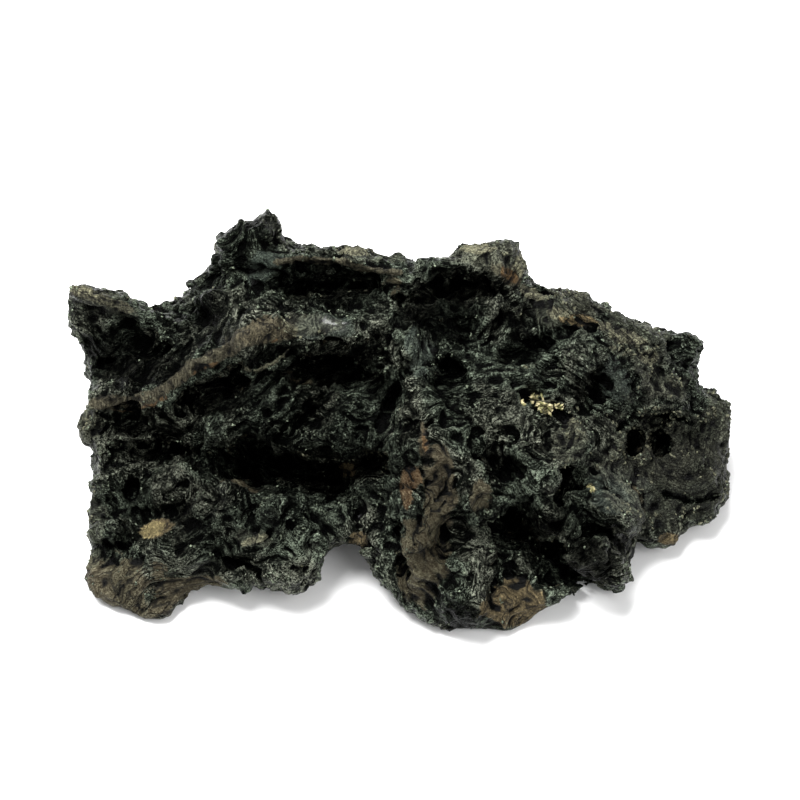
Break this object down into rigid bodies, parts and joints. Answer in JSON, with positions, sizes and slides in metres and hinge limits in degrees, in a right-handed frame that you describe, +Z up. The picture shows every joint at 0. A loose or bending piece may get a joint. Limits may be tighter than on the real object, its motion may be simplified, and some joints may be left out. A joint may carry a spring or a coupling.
{
  "type": "rough goethite specimen",
  "caption": "Hand-sized lump of rough black goethite with thin broken ledges, rounded knobs, feet along the front edge and deep hollows; lies on its broad underside.",
  "frame": {"origin": "centre of the bounding box in plan, at the level of the surface it lies on", "axes": "+X along the lump's length to its right end, +Y from the front feet to the broken back, +Z up; the show face looks forward and up"},
  "size_m": [0.1328, 0.0854, 0.0458],
  "materials": {
    "goethite": "black and glossy with fine sparkle, brown broken rims and olive dust on the right and the back"
  },
  "bodies": {
    "root": {"goethite": "goethite"}
  },
  "joints": []
}
